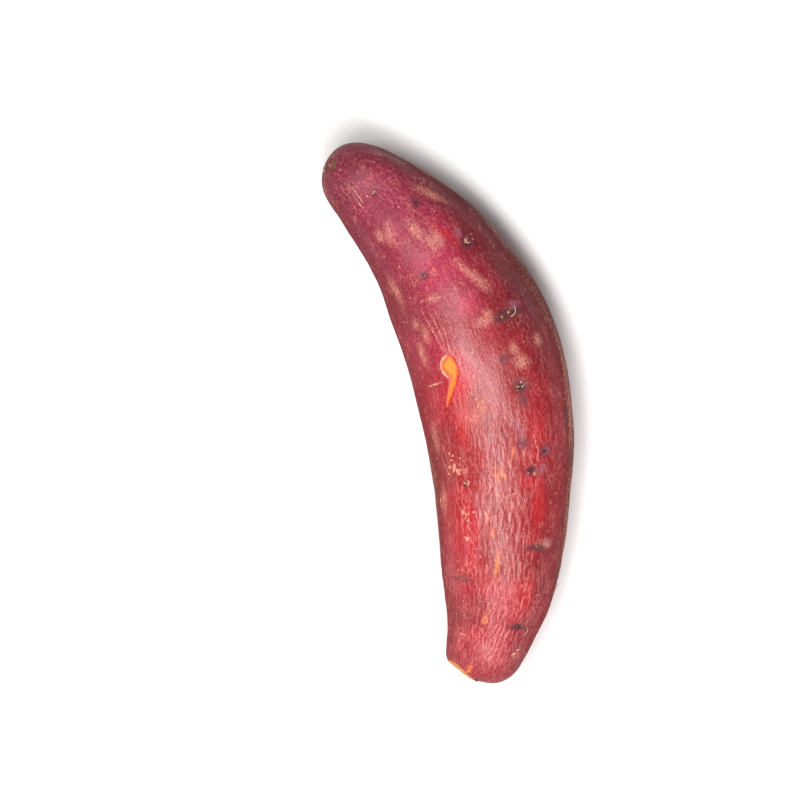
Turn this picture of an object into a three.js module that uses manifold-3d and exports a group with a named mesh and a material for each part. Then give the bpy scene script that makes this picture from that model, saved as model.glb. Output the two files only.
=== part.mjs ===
// A sweet potato: one whole storage root, cooked in its skin and lying on its side.
//
// Millimetres, +Z up. +X runs along the root, from its trimmed tail to its crown. The root bends in
// the horizontal plane, with the hollow of the bend on the +Y side. The origin is on the surface
// that the root rests on, under the middle of its bounding box.

import * as THREE from "three";
import { mergeVertices } from "three/addons/utils/BufferGeometryUtils.js";
import Module from "manifold-3d";

// The root's axis and girth at stations from the tail's tip to the crown's. x, y and z place the
// axis. wide is the half-width, rise the height above the axis and drop the depth below it. The
// two end stations give the girth that the rounded caps close down from.
const STATIONS = [
  { x: -92.4, y: 22.4, z: 16.5, wide: 12.2, rise: 10.8, drop: 11.2 },
  { x: -80.0, y: 16.0, z: 17.0, wide: 14.2, rise: 13.8, drop: 14.2 },
  { x: -62.0, y: 8.2, z: 18.0, wide: 18.6, rise: 17.8, drop: 18.1 },
  { x: -40.0, y: 1.5, z: 20.0, wide: 21.8, rise: 21.0, drop: 20.5 },
  { x: -15.0, y: -4.0, z: 21.8, wide: 24.5, rise: 23.0, drop: 22.4 },
  { x: 8.0, y: -6.2, z: 22.4, wide: 25.5, rise: 23.6, drop: 23.0 },
  { x: 30.0, y: -3.8, z: 22.0, wide: 24.4, rise: 22.8, drop: 22.5 },
  { x: 50.0, y: 1.6, z: 20.8, wide: 21.2, rise: 20.2, drop: 21.0 },
  { x: 68.0, y: 11.0, z: 19.8, wide: 17.0, rise: 16.5, drop: 17.0 },
  { x: 82.0, y: 19.3, z: 20.0, wide: 13.4, rise: 13.0, drop: 13.5 },
  { x: 92.2, y: 25.0, z: 20.5, wide: 12.8, rise: 11.8, drop: 11.8 },
];
const SQUARENESS = 2.12; // 2 is an ellipse, and more is fuller at the corners of the section

// How far each rounded end reaches along the axis, and how blunt it is.
const TAIL_CAP = { reach: 7.5, bluntness: 2.5 };
const CROWN_CAP = { reach: 12, bluntness: 2.0 };

// Slow swellings of the flesh: size as a share of the radius, waves along the root and around it.
const SWELLS = [
  { size: 0.016, along: 2.3, around: 2, phase: 0.6 },
  { size: 0.013, along: 3.7, around: -3, phase: 2.1 },
  { size: 0.011, along: 5.2, around: 1, phase: 4.4 },
  { size: 0.008, along: 7.1, around: 4, phase: 1.3 },
];
const UNDERSIDE_SWELL = 0.4; // the share of each swelling that is left where the root lies on it

// Hollows around the eyes that are deep enough to change the shape, and knobs, whose depth is less
// than nothing. x is along the root, turn is degrees around it from the +Y side over the top, and
// the rest is in millimetres.
const HOLLOWS = [
  { x: -92, turn: 10, radius: 8.0, depth: -1.0 },
  { x: -96, turn: 180, radius: 12.0, depth: 4.0 },
  { x: 95, turn: 180, radius: 12.0, depth: 3.6 },
  { x: 77, turn: 78, radius: 5.0, depth: 0.4 },
  { x: 46, turn: 120, radius: 6.0, depth: 0.7 },
  { x: 45, turn: 69, radius: 5.0, depth: 0.4 },
  { x: 40, turn: 181, radius: 4.5, depth: 1.0 },
  { x: 23, turn: 118, radius: 6.5, depth: 0.8 },
  { x: 1, turn: 112, radius: 5.5, depth: 0.6 },
  { x: -24, turn: 114, radius: 6.0, depth: 0.6 },
  { x: -29, turn: 56, radius: 5.0, depth: 0.5 },
  { x: -73, turn: 122, radius: 6.0, depth: 0.7 },
  { x: 62, turn: 215, radius: 5.0, depth: 0.6 },
  { x: 18, turn: 338, radius: 6.0, depth: 0.7 },
  { x: -46, turn: 205, radius: 5.5, depth: 0.7 },
  { x: -60, turn: 318, radius: 5.5, depth: 0.8 },
];

// The knife cut that took the tail's corner off: a point on it and the way it faces.
const TAIL_CUT_POINT = new THREE.Vector3(-88.2, 28.4, 16);
const TAIL_CUT_NORMAL = new THREE.Vector3(-0.6, 0.8, 0.12).normalize();

const CAP_RINGS = 6;
const BODY_RINGS = 42;
const POINTS_AROUND = 60;
const CUTTER_SIZE = 120;

const spine = new THREE.CatmullRomCurve3(
  STATIONS.map(({ x, y, z }) => new THREE.Vector3(x, y, z)),
  false,
  "catmullrom",
);
const girth = new THREE.CatmullRomCurve3(
  STATIONS.map(({ wide, rise, drop }) => new THREE.Vector3(wide, rise, drop)),
  false,
  "catmullrom",
);

// How much of its girth the root keeps at a distance from an end's tip.
function capShare(distance, { reach, bluntness }) {
  const towardsTip = THREE.MathUtils.clamp(1 - distance / reach, 0, 1);
  return (1 - towardsTip ** bluntness) ** (1 / bluntness);
}

// The section's radius at an angle, before its swellings and hollows.
function sectionRadius(angle, { x: wide, y: rise, z: drop }) {
  const across = Math.abs(Math.cos(angle)) / wide;
  const upright = Math.abs(Math.sin(angle)) / (Math.sin(angle) > 0 ? rise : drop);
  return (across ** SQUARENESS + upright ** SQUARENESS) ** (-1 / SQUARENESS);
}

function swellShare(along, angle) {
  const upright = Math.sin(angle);
  const share = upright > 0 ? upright : -upright * UNDERSIDE_SWELL;
  const waves = SWELLS.map(
    ({ size, along: k, around, phase }) => size * Math.cos(2 * Math.PI * k * along + around * angle + phase),
  );
  return 1 + share * waves.reduce((sum, wave) => sum + wave, 0);
}

function hollowDepth(x, angle, radius) {
  return HOLLOWS.reduce((sum, hollow) => {
    const turned = angle - THREE.MathUtils.degToRad(hollow.turn);
    const around = radius * Math.atan2(Math.sin(turned), Math.cos(turned));
    const distance = Math.hypot(x - hollow.x, around);
    return sum + hollow.depth * Math.exp(-((distance / hollow.radius) ** 2));
  }, 0);
}

// One ring of points around the axis, at a share of the way along it.
function ringPoints(along) {
  const length = spine.getLength();
  const t = spine.getUtoTmapping(along);
  const centre = spine.getPoint(t);
  const tangent = spine.getTangent(t);
  const sideways = new THREE.Vector3(-tangent.y, tangent.x, 0).normalize();
  const upwards = new THREE.Vector3().crossVectors(tangent, sideways);
  const kept = capShare(along * length, TAIL_CAP) * capShare((1 - along) * length, CROWN_CAP);
  return Array.from({ length: POINTS_AROUND }, (_, i) => {
    const angle = (2 * Math.PI * i) / POINTS_AROUND;
    const full = sectionRadius(angle, girth.getPoint(t)) * swellShare(along, angle);
    const radius = (full - hollowDepth(centre.x, angle, full)) * kept;
    return centre
      .clone()
      .addScaledVector(sideways, radius * Math.cos(angle))
      .addScaledVector(upwards, radius * Math.sin(angle));
  });
}

// Shares of the way along the axis where the rings lie, closer together on the caps.
function ringPlaces() {
  const length = spine.getLength();
  const tail = TAIL_CAP.reach / length;
  const crown = CROWN_CAP.reach / length;
  const capStep = (i) => 1 - Math.cos((Math.PI / 2) * (i / CAP_RINGS));
  const places = [];
  for (let i = 1; i < CAP_RINGS; i += 1) places.push(tail * capStep(i));
  for (let i = 0; i <= BODY_RINGS; i += 1) places.push(tail + ((1 - tail - crown) * i) / BODY_RINGS);
  for (let i = CAP_RINGS - 1; i > 0; i -= 1) places.push(1 - crown * capStep(i));
  return places;
}

// The closed skin of the root: rings joined by bands of triangles, with a point at each tip.
function rootGeometry() {
  const rings = ringPlaces().map(ringPoints);
  const points = [spine.getPoint(0), ...rings.flat(), spine.getPoint(1)];
  const last = points.length - 1;
  const at = (ring, i) => 1 + ring * POINTS_AROUND + (i % POINTS_AROUND);
  const faces = [];
  for (let i = 0; i < POINTS_AROUND; i += 1) {
    faces.push(0, at(0, i + 1), at(0, i));
    faces.push(last, at(rings.length - 1, i), at(rings.length - 1, i + 1));
    for (let ring = 0; ring < rings.length - 1; ring += 1) {
      faces.push(at(ring, i), at(ring, i + 1), at(ring + 1, i));
      faces.push(at(ring, i + 1), at(ring + 1, i + 1), at(ring + 1, i));
    }
  }
  const geometry = new THREE.BufferGeometry().setFromPoints(points);
  geometry.setIndex(faces);
  return geometry;
}

// A block whose near face lies on a plane and which fills the side that the plane's normal faces.
function cutterGeometry(point, normal) {
  const block = new THREE.BoxGeometry(CUTTER_SIZE * 2, CUTTER_SIZE * 2, CUTTER_SIZE);
  block.translate(0, 0, CUTTER_SIZE / 2);
  block.applyQuaternion(new THREE.Quaternion().setFromUnitVectors(new THREE.Vector3(0, 0, 1), normal));
  return block.translate(point.x, point.y, point.z);
}

function toSolid(wasm, geometry) {
  geometry.deleteAttribute("normal");
  geometry.deleteAttribute("uv");
  const merged = mergeVertices(geometry);
  return new wasm.Manifold(
    new wasm.Mesh({
      numProp: 3,
      vertProperties: Float32Array.from(merged.attributes.position.array),
      triVerts: Uint32Array.from(merged.index.array),
    }),
  );
}

function toGeometry(solid) {
  const { vertProperties, triVerts } = solid.getMesh();
  const geometry = new THREE.BufferGeometry();
  geometry.setAttribute("position", new THREE.BufferAttribute(vertProperties, 3));
  geometry.setIndex(new THREE.BufferAttribute(triVerts, 1));
  return geometry;
}

// The root with its flat resting spot at z = 0 and its trimmed tail.
function trimmedRoot(wasm) {
  const below = cutterGeometry(new THREE.Vector3(), new THREE.Vector3(0, 0, -1));
  const beyondTail = cutterGeometry(TAIL_CUT_POINT, TAIL_CUT_NORMAL);
  return toSolid(wasm, rootGeometry()).subtract(toSolid(wasm, below)).subtract(toSolid(wasm, beyondTail));
}

function centredOnBox(geometry) {
  geometry.computeBoundingBox();
  const middle = geometry.boundingBox.getCenter(new THREE.Vector3());
  return geometry.translate(-middle.x, -middle.y, 0);
}

const wasm = await Module();
wasm.setup();

const geometry = centredOnBox(toGeometry(trimmedRoot(wasm)));
geometry.computeVertexNormals();

const skin = new THREE.MeshStandardMaterial({ color: 0x9c2b3a, roughness: 0.45, metalness: 0 });
const root = new THREE.Mesh(geometry, skin);
root.name = "sweet_potato";

const group = new THREE.Group();
group.add(root);

export default group;
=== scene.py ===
"""A cooked sweet potato, lying on its side on a pale floor and seen from straight above.

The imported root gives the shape. This script lays a fine grid over it, folds and dents the grid as
the cooked skin is folded and dented, and colours it from marks held on the mesh and noise.
Along means along the root's bent axis, from tail to crown. Turn is degrees around the axis, from
the hollow side of the bend (0) over the top (90) to the outer side (180) and the underside (270).
"""

import math

import bpy
import numpy as np
from mathutils import Matrix, Vector
from mathutils.bvhtree import BVHTree


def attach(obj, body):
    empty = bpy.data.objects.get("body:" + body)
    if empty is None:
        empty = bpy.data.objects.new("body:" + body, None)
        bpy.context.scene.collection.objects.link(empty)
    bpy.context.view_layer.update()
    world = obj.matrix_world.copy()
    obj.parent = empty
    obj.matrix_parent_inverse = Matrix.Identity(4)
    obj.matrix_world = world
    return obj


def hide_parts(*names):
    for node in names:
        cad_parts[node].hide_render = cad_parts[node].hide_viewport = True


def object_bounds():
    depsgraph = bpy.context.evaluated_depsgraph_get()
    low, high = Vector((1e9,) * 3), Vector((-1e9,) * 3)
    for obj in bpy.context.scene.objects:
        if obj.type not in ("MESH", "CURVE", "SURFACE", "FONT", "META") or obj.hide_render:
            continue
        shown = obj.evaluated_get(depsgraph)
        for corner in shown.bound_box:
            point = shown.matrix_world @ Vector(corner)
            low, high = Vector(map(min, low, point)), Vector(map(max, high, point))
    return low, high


MM = 0.001

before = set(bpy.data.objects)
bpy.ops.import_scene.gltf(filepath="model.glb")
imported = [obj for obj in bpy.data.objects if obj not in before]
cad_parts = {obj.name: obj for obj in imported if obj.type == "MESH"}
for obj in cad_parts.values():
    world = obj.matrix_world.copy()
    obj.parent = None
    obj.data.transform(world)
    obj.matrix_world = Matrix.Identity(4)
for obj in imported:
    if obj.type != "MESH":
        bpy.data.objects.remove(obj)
CAD_LOW, CAD_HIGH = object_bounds()

# The grid over the root. The two caps' rows fan round the ends, and the body's rows cross the axis.
CAP_ROWS = 30
BODY_ROWS = 216
COLUMNS = 360
ROWS = 2 * CAP_ROWS + BODY_ROWS
SEAM_TURN = -90.0  # the grid's seam runs along the underside
CAP_REACH = 13.0 * MM  # from each end of the axis to the tip beyond it
POLE_GAP = 0.7  # of a row, between a pole and the ring of points nearest to it
AXIS_SECTIONS = 25
AXIS_DEGREE = 6
AXIS_STEPS = 2000
CENTRING_PASSES = 3
FACET_BLUR = (2.6, 4.0)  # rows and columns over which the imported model's facets are smoothed away

# The knife cut at the tail: the way it faces, then in millimetres the height at which it meets the
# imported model's cut, how much deeper it goes there, and the x that it doesn't reach beyond.
TAIL_CUT_NORMAL = np.array([-0.6, 0.8, 0.17])
TAIL_CUT_NORMAL /= np.linalg.norm(TAIL_CUT_NORMAL)
TAIL_CUT_HEIGHT = 15.0
TAIL_CUT_DEPTH = 0.8
TAIL_CUT_LIMIT = -70.0
TAIL_END = -80.0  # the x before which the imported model's cut is looked for

# Places on the skin are given as x and turn: x is millimetres along the part's X axis, where the
# root's axis passes the place, and turn is as above. Sizes are in millimetres.

# Eyes: x, turn, the size of the pit, how far the brow over it stands up.
EYES = [
    (77.0, 78, 0.9, 0.10),
    (65.0, 105, 0.8, 0.05),
    (46.0, 120, 1.4, 0.18),
    (44.0, 68, 0.9, 0.08),
    (1.3, 112, 1.6, 0.18),
    (-18.6, 127, 1.1, 0.10),
    (-24.1, 114, 1.4, 0.12),
    (-27.4, 54, 1.2, 0.14),
    (-73.0, 118, 1.5, 0.16),
    (62.0, 215, 1.4, 0.16),
    (18.0, 338, 1.6, 0.18),
    (-46.0, 205, 1.5, 0.16),
    (-60.0, 318, 1.4, 0.16),
    (-2.0, 232, 1.3, 0.12),
    (50.0, 352, 1.2, 0.12),
]

# Scars that cross the root: x, turn, half-length along, half-length around, depth.
SCARS = [
    (22.6, 120, 1.3, 4.0, 0.26),
    (-48.0, 121, 0.7, 3.0, 0.16),
    (-73.0, 117, 0.8, 2.6, 0.22),
    (-58.9, 45, 0.5, 2.3, 0.10),
    (-12.0, 205, 0.8, 3.6, 0.20),
    (34.0, 318, 0.8, 3.4, 0.18),
]

# Ovals of colour: x, turn, half-length along, half-length around, lean in degrees.
SPOTS = {
    "bruise": [
        (77.0, 78, 1.2, 1.2, 0), (65.0, 105, 1.9, 1.8, 0), (46.0, 120, 2.2, 2.8, 0),
        (48.2, 124, 1.5, 1.6, 0), (44.0, 68, 1.5, 1.5, 0), (22.6, 121, 1.9, 5.2, 0),
        (10.5, 103, 1.6, 1.5, 0), (1.3, 112, 2.6, 3.0, 0), (-2.4, 112, 2.4, 1.4, 0),
        (-15.6, 107, 1.6, 1.8, 0), (-18.6, 127, 2.0, 2.1, 0), (-24.1, 114, 2.0, 2.4, 0),
        (-48.0, 121, 1.0, 3.4, 8), (-73.0, 117, 1.0, 3.0, 0), (-9.0, 152, 3.6, 1.6, 0),
        (-21.0, 161, 3.0, 1.4, 0), (38.5, 181, 2.0, 1.6, 0), (-92.9, 78, 0.9, 0.9, 0),
        (62.0, 215, 1.8, 2.2, 0), (18.0, 338, 2.2, 2.6, 0), (-46.0, 205, 2.0, 2.4, 0),
        (-60.0, 318, 1.9, 2.2, 0), (-2.0, 232, 1.8, 2.0, 0), (50.0, 352, 1.6, 1.8, 0),
        (-12.0, 205, 1.1, 4.2, 0), (34.0, 318, 1.1, 4.0, 0),
    ],
    "lilac": [
        (49.8, 117, 1.6, 1.2, 0), (-9.6, 102, 2.0, 0.8, 0), (-18.4, 128, 1.4, 1.3, 0),
        (-23.8, 125, 1.6, 1.7, 0), (24.6, 128, 1.5, 2.0, 0), (-13.0, 106, 1.6, 0.7, 0),
        (-47.0, 133, 1.2, 1.6, 0),
    ],
    # Pale rubbed patches of the skin; those on the top near x 52 to 58 and turn 85 to 97 are partly a
    # painted highlight.
    "scuff_and_highlight": [
        (34.7, 108, 3.4, 1.3, -24), (39.5, 102, 2.4, 0.8, -20), (23.0, 98, 1.1, 2.0, 0),
        (24.5, 102, 0.9, 1.1, 0), (51.6, 97, 2.0, 1.0, 0), (58.0, 85, 2.6, 1.2, 0),
        (62.8, 62, 2.2, 1.0, 30), (64.1, 53, 1.3, 0.9, 0), (64.5, 125, 3.6, 1.0, -20),
        (52.0, 90, 2.0, 0.9, 0), (36.0, 66, 0.8, 1.2, 0), (26.0, 48, 1.8, 0.9, 0),
        (31.0, 42, 1.2, 1.0, 0), (20.0, 38, 2.6, 0.9, 0), (8.4, 117, 1.8, 2.2, 20),
        (12.5, 114, 1.6, 1.2, 0), (13.0, 137, 1.6, 1.1, 0), (-2.5, 76, 1.8, 1.2, 0),
        (-12.0, 28, 2.4, 0.9, 0), (-47.0, 132, 1.0, 1.6, 0), (45.0, 36, 3.0, 0.9, 0),
        (-33.0, 30, 2.6, 0.9, 0), (40.0, 205, 4.0, 2.0, 20), (-20.0, 345, 5.0, 1.8, 0),
        (-70.0, 215, 3.0, 2.0, 0), (8.0, 222, 3.2, 1.8, 0), (70.0, 330, 3.2, 2.0, 0),
        (-6.0, 68, 1.4, 0.8, 0),
    ],
    "orange": [
        (-24.5, 88, 1.6, 0.6, -30), (-43.0, 77, 1.2, 0.4, 0), (-71.8, 72, 1.5, 0.7, 0),
        (-35.0, 25, 0.5, 0.4, 0), (-53.2, 82, 3.8, 0.65, 6), (-89.5, 62, 1.4, 0.6, 20),
        (-24.8, 83, 1.8, 0.5, -20), (43.8, 78, 0.6, 0.5, 0), (-38.4, 73, 1.0, 0.3, 0),
    ],
    "glow": [
        (1.0, 60, 8.0, 2.6, 6), (-9.0, 57, 6.0, 2.6, 0), (-34.0, 122, 6.0, 2.4, 0),
        (-62.0, 118, 6.0, 2.0, 0), (50.0, 110, 5.0, 1.4, -25),
    ],
}

# Thin marks: stops of x, turn and half-width along each.
TRAILS = {
    "flesh": [
        [(15.2, 60.5, 1.2), (13.0, 58.5, 2.7), (11.2, 59.5, 2.3), (8.9, 59.5, 1.1), (6.9, 56.5, 1.15),
         (3.6, 52.0, 0.8), (-0.4, 46.5, 0.35)],
        [(-90.0, 28, 0.4), (-90.4, 38, 0.7), (-90.9, 44, 0.3)],
        [(-91.8, 52, 0.4), (-92.4, 60, 0.8), (-92.8, 68, 0.3)],
    ],
    "amber": [
        [(-16.0, 99, 0.15), (-18.2, 98.5, 0.34), (-20.7, 96, 0.15)],
    ],
    "cream": [
        [(37.2, 54, 0.10), (36.6, 60, 0.22), (35.4, 70, 0.20), (34.8, 79, 0.22), (34.3, 87, 0.05)],
        [(34.5, 52, 0.06), (26.0, 55, 0.16), (18.4, 58, 0.20)],
        [(35.0, 58, 0.06), (25.0, 60, 0.15), (17.2, 60.5, 0.20)],
        [(33.0, 63, 0.06), (24.0, 64, 0.15), (17.4, 63, 0.20)],
        [(21.8, 68, 0.06), (16.2, 65.5, 0.15)],
        [(30.0, 70, 0.06), (22.0, 70, 0.12), (15.0, 69, 0.05)],
        [(7.9, 33, 0.25), (8.2, 41, 0.40), (8.4, 50, 0.15)],
        [(-63.6, 113, 0.14), (-63.0, 128, 0.22), (-61.9, 143, 0.10)],
        [(-78.9, 36, 0.15), (-79.3, 46, 0.26), (-79.6, 56, 0.10)],
        [(-58.6, 36, 0.12), (-58.9, 46, 0.34), (-58.6, 56, 0.12)],
        [(-13.4, 117, 0.08), (-16.4, 118.5, 0.18), (-18.6, 121, 0.14), (-20.6, 119, 0.06)],
        [(83.5, 62, 0.06), (79.0, 60, 0.20), (76.5, 59, 0.06)],
        [(82.0, 56, 0.06), (78.0, 55, 0.18), (75.0, 56, 0.06)],
    ],
}
RIM_STOPS = [
    (17.0, 61.5, 0.3), (16.2, 56.5, 0.5), (14.2, 52.5, 0.7), (11.6, 52.0, 0.6), (9.0, 55.0, 0.4),
]
PULP_INSET = 0.7  # how far inside the torn patch's edge its paler flesh starts
CORE_INSET = 0.9  # the same for the knife cut

# Clusters of pale grains that stand on the skin: x, turn, half-lengths, how many, their radius.
GRAIN_CLUSTERS = [
    (-21.8, 46, 3.4, 3.8, 22, 0.44),
    (-37.0, 54, 1.6, 2.4, 9, 0.42),
    (-44.6, 54, 1.2, 1.8, 5, 0.42),
    (-33.0, 25, 1.6, 1.4, 5, 0.34),
    (12.0, 163, 2.6, 1.6, 6, 0.42),
    (-3.0, 74, 4.0, 3.0, 9, 0.30),
    (40.0, 181, 1.4, 1.6, 4, 0.60),
    (58.0, 84, 3.0, 2.0, 5, 0.30),
    (-80.0, 126, 1.4, 1.6, 4, 0.34),
    (-30.0, 230, 3.0, 3.0, 8, 0.40),
    (25.0, 345, 3.0, 3.0, 7, 0.38),
    (46.0, 120, 1.8, 2.0, 4, 0.34),
    (1.3, 112, 1.8, 2.2, 4, 0.34),
    (-27.4, 54, 1.6, 1.8, 5, 0.38),
    (-24.1, 114, 2.2, 3.0, 4, 0.32),
    (-73.0, 120, 1.2, 3.4, 4, 0.32),
    (22.6, 120, 1.8, 4.8, 5, 0.34),
    (77.0, 78, 1.1, 1.2, 2, 0.34),
    (-47.8, 121, 0.8, 3.4, 4, 0.32),
]

# Root hairs and corky stubs: x, turn, heading in degrees from the crown's direction towards more
# turn, lift from the skin in degrees, length, curl in degrees, radius, paleness from 0 to 1.
HAIRS = [
    (21.6, 121, 92, 16, 4.8, -110, 0.16, 1.00),
    (22.9, 113, 250, 12, 2.2, 40, 0.12, 0.30),
    (22.2, 119, 300, 22, 1.6, -50, 0.14, 0.15),
    (46.0, 120, 80, 30, 1.1, 60, 0.17, 0.85),
    (46.3, 119, 330, 34, 1.0, -80, 0.16, 0.95),
    (46.6, 121, 20, 20, 2.1, 30, 0.09, 0.55),
    (44.0, 68, 262, 9, 2.7, 18, 0.08, 0.20),
    (43.8, 67, 284, 8, 2.4, -14, 0.07, 0.25),
    (44.1, 68, 60, 16, 1.2, 40, 0.08, 0.20),
    (44.0, 69, 210, 22, 1.0, 60, 0.12, 0.80),
    (77.0, 77, 250, 26, 0.9, 60, 0.20, 0.95),
    (77.2, 79, 20, 28, 0.8, -30, 0.12, 0.20),
    (1.5, 111, 240, 26, 1.1, 70, 0.18, 0.95),
    (1.1, 113, 70, 22, 1.1, -40, 0.17, 1.00),
    (1.6, 114, 64, 10, 2.9, 24, 0.09, 0.45),
    (1.9, 110, 300, 12, 2.2, -30, 0.08, 0.25),
    (-27.3, 54, 290, 30, 1.1, 60, 0.20, 1.00),
    (-27.7, 56, 100, 26, 1.1, -60, 0.18, 0.90),
    (-27.0, 55, 60, 12, 1.9, 30, 0.09, 0.20),
    (-72.7, 130, 140, 16, 3.2, 110, 0.12, 0.75),
    (-73.0, 112, 270, 12, 1.9, -30, 0.10, 0.15),
    (-72.6, 121, 60, 18, 1.6, 40, 0.10, 0.20),
    (-61.2, 171, 30, 34, 2.4, 70, 0.13, 0.90),
    (-61.5, 172, 110, 28, 1.4, -40, 0.10, 0.80),
    (-79.6, 127, 60, 24, 1.3, 60, 0.18, 0.90),
    (-80.4, 124, 200, 24, 1.1, -50, 0.16, 0.85),
    (-92.6, 76, 230, 20, 1.0, 30, 0.30, 0.10),
    (-64.0, 3, 200, 26, 1.7, 50, 0.09, 0.80),
    (62.1, 214, 120, 26, 2.4, 60, 0.11, 0.40),
    (61.8, 217, 250, 24, 1.5, -60, 0.18, 0.90),
    (18.2, 337, 200, 28, 2.6, -70, 0.11, 0.35),
    (17.7, 340, 20, 26, 1.6, 60, 0.18, 0.90),
    (-45.8, 204, 330, 28, 2.8, 50, 0.12, 0.45),
    (-46.4, 207, 160, 26, 1.5, -60, 0.18, 0.85),
    (-60.1, 317, 60, 26, 2.2, -50, 0.11, 0.40),
    (-59.7, 320, 220, 26, 1.4, 60, 0.17, 0.85),
    (-2.1, 231, 80, 26, 1.9, 50, 0.10, 0.40),
    (50.0, 351, 190, 26, 1.8, 60, 0.10, 0.60),
    (92.0, 30, 330, 30, 2.4, 50, 0.13, 0.80),
    (92.5, 44, 20, 24, 2.0, -60, 0.12, 0.75),
]
HAIR_SIDES = 6
HAIR_STEPS = 9
HAIR_SINK = 1.5  # how far under the skin a hair starts, in radii
HAIR_SPRING = 14  # how much more steeply it leaves the skin than its lift says, in degrees
HAIR_TAPER = 0.65  # how much of its radius it loses by its tip

# The corky scar on the crown where the stalk was: x, turn and the radius of its bark.
STALK_SCAR = (92.5, 48)
STALK_RADIUS = 1.9

# Points deeper than this under a place's tangent plane, in millimetres, are on another side of the
# root, and count as far away from it.
SAME_SIDE = 8.0
FAR_AWAY = 200.0

# The camera stands straight above the middle of the plate that the root lay on.
CAMERA_HEIGHT = 0.95
CAMERA_PLACE = (6.1 * MM, 24.6 * MM)
CAMERA_ROLL = -104.7
SENSOR = 36.0
VIEW_WIDTH = 0.2667  # of the picture at the height of the root's widest line
WIDEST_HEIGHT = 0.022

# Soft lights that face the root: name, place, the way their long side runs, size and power.
SOFTBOXES = [
    ("tail_strip", (-0.32, 0.13, 1.0), (0.60, 0.38, 0), (0.64, 0.28), 11.2),
    ("crown_strip", (0.12, 0.28, 1.0), (0.36, -0.08, 0), (0.24, 0.28), 4.7),
]
SKY_STRENGTH = 0.22
FLOOR_HALF_WIDTH = 2.0
FLOOR_ROUGHNESS = 0.6


# ---------------------------------------------------------------- noise


LATTICE_SIDE = 48  # lumps before the noise repeats
CLOUD_GAIN = 1.4  # makes up for what blending the lattice's values takes off their range


def cloud(points, size, seed):
    """Smooth noise from -1 to 1 at points, with lumps of about the given size."""
    lattice = np.random.default_rng(seed).uniform(-1, 1, (LATTICE_SIDE,) * 3)
    place = points / size + LATTICE_SIDE / 2
    low = np.floor(place).astype(int)
    part = place - low
    part = part * part * (3 - 2 * part)
    total = np.zeros(points.shape[:-1])
    for corner in np.ndindex(2, 2, 2):
        weight = np.prod(np.where(corner, part, 1 - part), axis=-1)
        x, y, z = np.moveaxis((low + corner) % LATTICE_SIDE, -1, 0)
        total += weight * lattice[x, y, z]
    return np.clip(total * CLOUD_GAIN, -1, 1)


def soft_step(low, high, value):
    share = np.clip((value - low) / (high - low), 0, 1)
    return share * share * (3 - 2 * share)


def band(value, rise, fall):
    """1 between two soft edges and 0 outside them. Each edge is given by its low and high end."""
    return soft_step(*rise, value) * (1 - soft_step(*fall, value))


def hump(distance, reach):
    """1 at no distance, falling smoothly to nearly 0 at twice the reach."""
    return np.exp(-((distance / reach) ** 2))


# ---------------------------------------------------------------- the grid over the root


def packed_root():
    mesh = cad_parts["sweet_potato"].data
    points = [v.co.copy() for v in mesh.vertices]
    faces = [tuple(p.vertices) for p in mesh.polygons]
    return BVHTree.FromPolygons(points, faces)


def section_middle(tree, x):
    """The middle of the root's section at x, found by rays from its sides, top and underside."""
    far = 2 * (CAD_HIGH - CAD_LOW).length
    middle = (CAD_LOW + CAD_HIGH) / 2
    y, z = middle.y, middle.z
    for _ in range(CENTRING_PASSES):
        sides = [tree.ray_cast(Vector((x, s * far, z)), Vector((0, -s, 0)))[0].y for s in (1, -1)]
        y = sum(sides) / 2
        ends = [tree.ray_cast(Vector((x, y, s * far)), Vector((0, 0, -s)))[0].z for s in (1, -1)]
        z = sum(ends) / 2
    return y, z


def axis_curve(tree):
    """Points and directions along the root's axis, one for each row of the body."""
    xs = np.linspace(CAD_LOW.x + CAP_REACH, CAD_HIGH.x - CAP_REACH, AXIS_SECTIONS)
    middles = np.array([section_middle(tree, x) for x in xs])
    along_y = np.poly1d(np.polyfit(xs, middles[:, 0], AXIS_DEGREE))
    along_z = np.poly1d(np.polyfit(xs, middles[:, 1], AXIS_DEGREE))
    fine = np.linspace(xs[0], xs[-1], AXIS_STEPS)
    curve = np.stack([fine, along_y(fine), along_z(fine)], axis=1)
    length = np.concatenate([[0], np.cumsum(np.linalg.norm(np.diff(curve, axis=0), axis=1))])
    x = np.interp(np.linspace(0, length[-1], BODY_ROWS), length, fine)
    points = np.stack([x, along_y(x), along_z(x)], axis=1)
    slopes = np.stack([np.ones_like(x), along_y.deriv()(x), along_z.deriv()(x)], axis=1)
    return points, slopes / np.linalg.norm(slopes, axis=1, keepdims=True)


def spread_to_rows(points, directions):
    """Each row's place on the axis, its direction there and its lean out over a cap, in radians."""
    lean = np.zeros(ROWS)
    steps = (np.arange(CAP_ROWS) + POLE_GAP) / (CAP_ROWS + POLE_GAP)
    lean[:CAP_ROWS] = -(math.pi / 2) * (1 - steps)
    lean[ROWS - CAP_ROWS:] = (math.pi / 2) * (1 - steps[::-1])
    index = np.clip(np.arange(ROWS) - CAP_ROWS, 0, BODY_ROWS - 1)
    return points[index], directions[index], lean


def blur_over_grid(field, rows, columns):
    """A blur that runs on over the poles, where the grid meets its own far side."""
    over = np.roll(field[::-1], COLUMNS // 2, axis=1)
    whole = np.concatenate([field, over])
    down = np.fft.fftfreq(2 * ROWS)[:, None] * rows
    across = np.fft.fftfreq(COLUMNS)[None, :] * columns
    gain = np.exp(-2 * math.pi**2 * (down**2 + across**2))
    return np.fft.ifft2(np.fft.fft2(whole) * gain).real[:ROWS]


def slope_normals(points):
    """The outward normal at each point of the grid."""
    down = np.gradient(points, axis=0)
    across = (np.roll(points, -1, axis=1) - np.roll(points, 1, axis=1)) / 2
    normals = np.cross(down, across)
    normals /= np.linalg.norm(normals, axis=-1, keepdims=True) + 1e-12
    return -normals


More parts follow.
